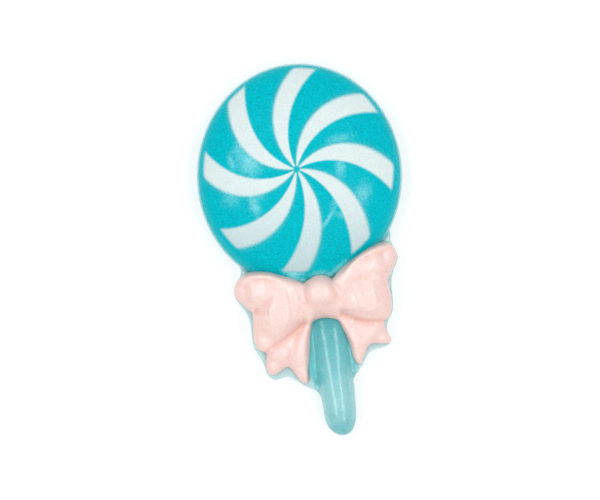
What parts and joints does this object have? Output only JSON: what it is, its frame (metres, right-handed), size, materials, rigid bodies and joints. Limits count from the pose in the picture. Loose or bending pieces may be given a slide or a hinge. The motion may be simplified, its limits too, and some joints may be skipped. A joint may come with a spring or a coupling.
{
  "type": "lollipop ornament",
  "caption": "Small flat-backed resin copy of a swirl lollipop: a domed disc with curved stripes, a round-topped stick and a bow across their joint.",
  "frame": {"origin": "middle of the bounding box's footprint, on the flat back", "axes": "+Y from the stick's tip towards the far side of the disc, +Z out of the shown side"},
  "size_m": [0.0164, 0.03, 0.005],
  "materials": {
    "teal_resin": "glossy milky resin; the dome carries a printed swirl in turquoise and white",
    "pink_resin": "satin opaque resin"
  },
  "bodies": {
    "root": {"teal_casting": "teal_resin", "pink_bow": "pink_resin"}
  },
  "joints": []
}
